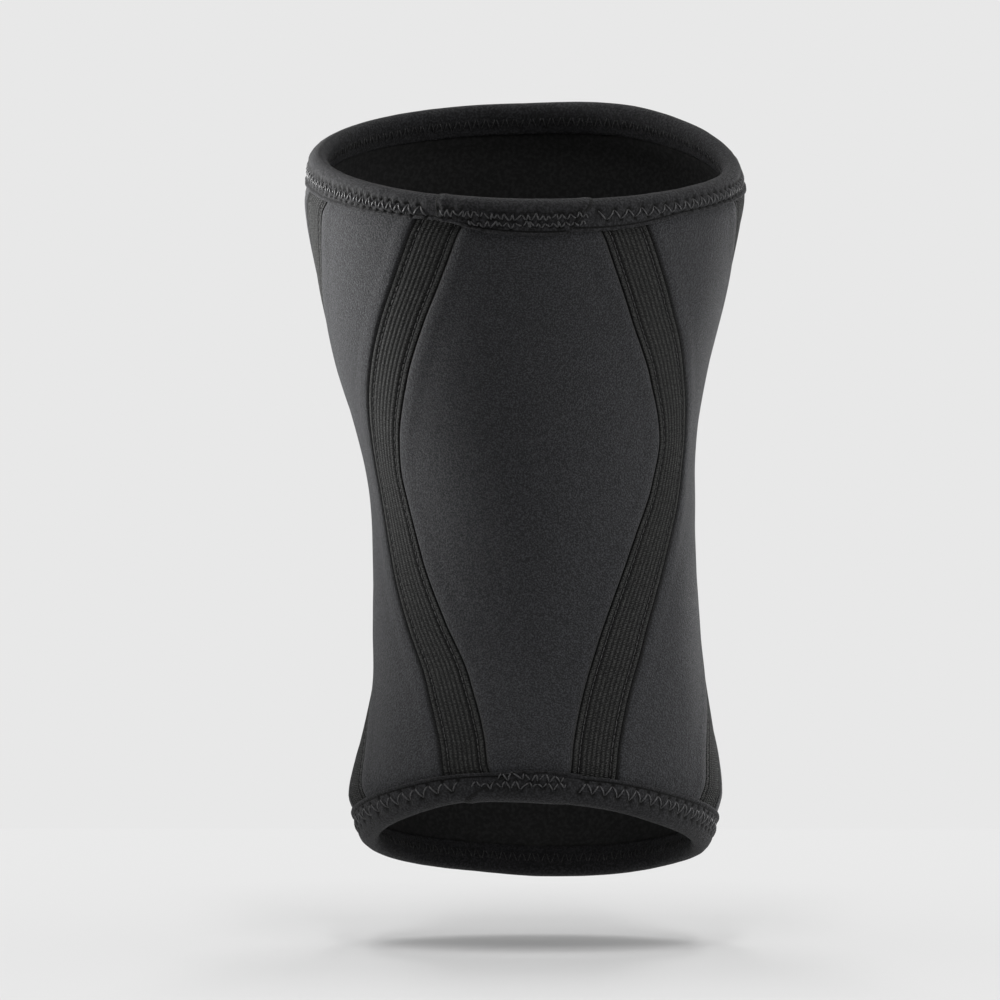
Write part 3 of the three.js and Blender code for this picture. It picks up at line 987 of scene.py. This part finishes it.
THREAD_SHINE = cloth_material(
    "sewing_thread", (0.014, 0.014, 0.015), (0.060, 0.060, 0.063), (0.01, 0.01, 0.01),
    roughness=0.50, sheen=(0.1, 0.4), bump=(0.4, 0.0002), group=JERSEY_GRAIN, specular=0.6, Grain=2600.0)
TAPE_STITCHING = cloth_material(
    "tape_thread", (0.014, 0.014, 0.014), (0.045, 0.045, 0.045), (0.01, 0.01, 0.01),
    roughness=0.60, sheen=(0.1, 0.4), bump=(0.4, 0.0002), group=JERSEY_GRAIN, specular=0.4, Grain=1200.0)

# The sleeve

neoprene_panel("rear_panel_neoprene", "rear_panel", "rear_left", "rear_right")
neoprene_panel("side_panel_left_neoprene", "side_panel_left", "front_left", "rear_left")
neoprene_panel("side_panel_right_neoprene", "side_panel_right", "rear_right", "front_right")
neoprene_panel("front_panel_neoprene", "front_panel", "front_right", "front_left")
for seam_name in ("rear_left", "rear_right", "front_left", "front_right"):
    seam_tape("seam_band_" + seam_name + "_tape", "seam_band_" + seam_name, seam_name)
    tape_stitches("seam_band_" + seam_name + "_stitches", seam_name)
folded_binding(TOP, "top_binding")
folded_binding(BOTTOM, "bottom_binding")

# Floor, light and camera

# The floor's height, half its width and its tone, and the tone that the camera sees behind it
FLOOR_HEIGHT = -0.166
FLOOR_HALF = 0.7
PALE = 0.72
BACKDROP = 0.807
# The overhead lights' tilts and softness in degrees, and how far each row leans sideways
OVERHEAD_TILTS = (-38, -30, -22, -14, 16, 24, 32, 40)
SUN_SOFTNESS = 7
OVERHEAD_SPREAD = 0.13
# The strengths of the lights
OVERHEAD_LIGHT = 0.108
FLOOR_FILL = 0.76
LEFT_LIGHT = 0.95
LEFT_SPREAD = math.radians(76)
RIGHT_LIGHT = 2.2
RIGHT_FRONT_LIGHT = 2.1
ROUND_LIGHT = 0.42

STUDIO = bpy.data.collections.new("studio_floor")


def pale_floor():
    bm = bmesh.new()
    bmesh.ops.create_grid(bm, x_segments=1, y_segments=1, size=FLOOR_HALF)
    bmesh.ops.translate(bm, verts=bm.verts, vec=(0, 0, FLOOR_HEIGHT))
    mesh = bpy.data.meshes.new("floor")
    bm.to_mesh(mesh)
    bm.free()
    material = bpy.data.materials.new("pale_floor")
    material.use_nodes = True
    shader = material.node_tree.nodes["Principled BSDF"]
    shader.inputs["Base Color"].default_value = (PALE, PALE, PALE, 1)
    shader.inputs["Roughness"].default_value = 1.0
    shader.inputs["Specular IOR Level"].default_value = 0.0
    mesh.materials.append(material)
    floor = bpy.data.objects.new("floor", mesh)
    bpy.context.scene.collection.children.link(STUDIO)
    STUDIO.objects.link(floor)


def sun(name, direction, strength):
    """Even light that travels along direction."""
    light = bpy.data.lights.new(name, "SUN")
    light.energy = strength
    light.angle = math.radians(SUN_SOFTNESS)
    lamp = bpy.data.objects.new(name, light)
    lamp.rotation_mode = "QUATERNION"
    lamp.rotation_quaternion = Vector(direction).to_track_quat("-Z", "Y")
    bpy.context.scene.collection.objects.link(lamp)
    return lamp


def overhead_strip():
    """A long softbox overhead, from behind the sleeve to in front of it, as two rows of even lights."""
    for tilt in OVERHEAD_TILTS:
        slope = math.radians(tilt)
        for side in (-OVERHEAD_SPREAD, OVERHEAD_SPREAD):
            direction = (side, math.sin(slope), -math.cos(slope))
            sun(f"overhead_{tilt}_{side}", direction, OVERHEAD_LIGHT)


def floor_fill():
    """Light on the floor alone, which the sleeve doesn't block, so that its shadow stays soft."""
    lamp = sun("floor_fill", (0, 0, -1), FLOOR_FILL)
    lamp.light_linking.receiver_collection = STUDIO
    lamp.light_linking.blocker_collection = STUDIO


def softbox(name, place, aim, size, power):
    """A rectangular softbox that lights the sleeve and not the floor, and that the camera doesn't see."""
    light = bpy.data.lights.new(name, "AREA")
    light.shape = "RECTANGLE"
    light.size, light.size_y = size
    light.energy = power
    lamp = bpy.data.objects.new(name, light)
    lamp.location = place
    lamp.rotation_mode = "QUATERNION"
    lamp.rotation_quaternion = (Vector(aim) - Vector(place)).to_track_quat("-Z", "Y")
    lamp.light_linking.receiver_collection = SLEEVE
    lamp.visible_camera = False
    bpy.context.scene.collection.objects.link(lamp)
    return lamp


def studio_world(light, seen):
    """Even light from all round. The camera sees the backdrop in the floor's own tone."""
    world = bpy.data.worlds.new("studio")
    bpy.context.scene.world = world
    world.use_nodes = True
    tree = world.node_tree
    tree.nodes.clear()
    output = tree.nodes.new("ShaderNodeOutputWorld")
    glow = tree.nodes.new("ShaderNodeBackground")
    glow.inputs["Color"].default_value = (light, light, light, 1)
    backdrop = tree.nodes.new("ShaderNodeBackground")
    backdrop.inputs["Color"].default_value = (seen, seen, seen, 1)
    path = tree.nodes.new("ShaderNodeLightPath")
    choice = tree.nodes.new("ShaderNodeMixShader")
    tree.links.new(path.outputs["Is Camera Ray"], choice.inputs[0])
    tree.links.new(glow.outputs[0], choice.inputs[1])
    tree.links.new(backdrop.outputs[0], choice.inputs[2])
    tree.links.new(choice.outputs[0], output.inputs["Surface"])


def camera_behind_the_knee():
    """The picture is 1000 pixels wide, and the sleeve's middle stands right of its centre. The focal length
    is in pixels too."""
    place = (0, -2.1, 0.0015)
    focal = 5586
    picture = 1000
    middle = (533.5, 495)
    data = bpy.data.cameras.new("camera")
    data.sensor_width = 36
    data.lens = focal / picture * data.sensor_width
    data.clip_end = 200
    camera = bpy.data.objects.new("camera", data)
    camera.location = place
    aim = Vector(((picture / 2 - middle[0]) / focal, 1, (middle[1] - picture / 2) / focal))
    camera.rotation_mode = "QUATERNION"
    camera.rotation_quaternion = aim.to_track_quat("-Z", "Y")
    bpy.context.scene.collection.objects.link(camera)
    bpy.context.scene.camera = camera


pale_floor()
overhead_strip()
floor_fill()
left_box = softbox("left_side", place=(-0.40, 0.075, 0.14), aim=(0, 0, 0.15), size=(0.20, 0.16),
                   power=LEFT_LIGHT)
left_box.data.spread = LEFT_SPREAD
softbox("right_side", place=(0.42, 0.60, 0.02), aim=(0, 0, 0), size=(0.16, 0.60), power=RIGHT_LIGHT)
softbox("right_front", place=(0.58, -0.10, 0.12), aim=(0.06, 0, 0.02), size=(0.30, 0.40),
        power=RIGHT_FRONT_LIGHT)
studio_world(ROUND_LIGHT, BACKDROP)
camera_behind_the_knee()
bpy.context.scene.view_settings.view_transform = "Standard"
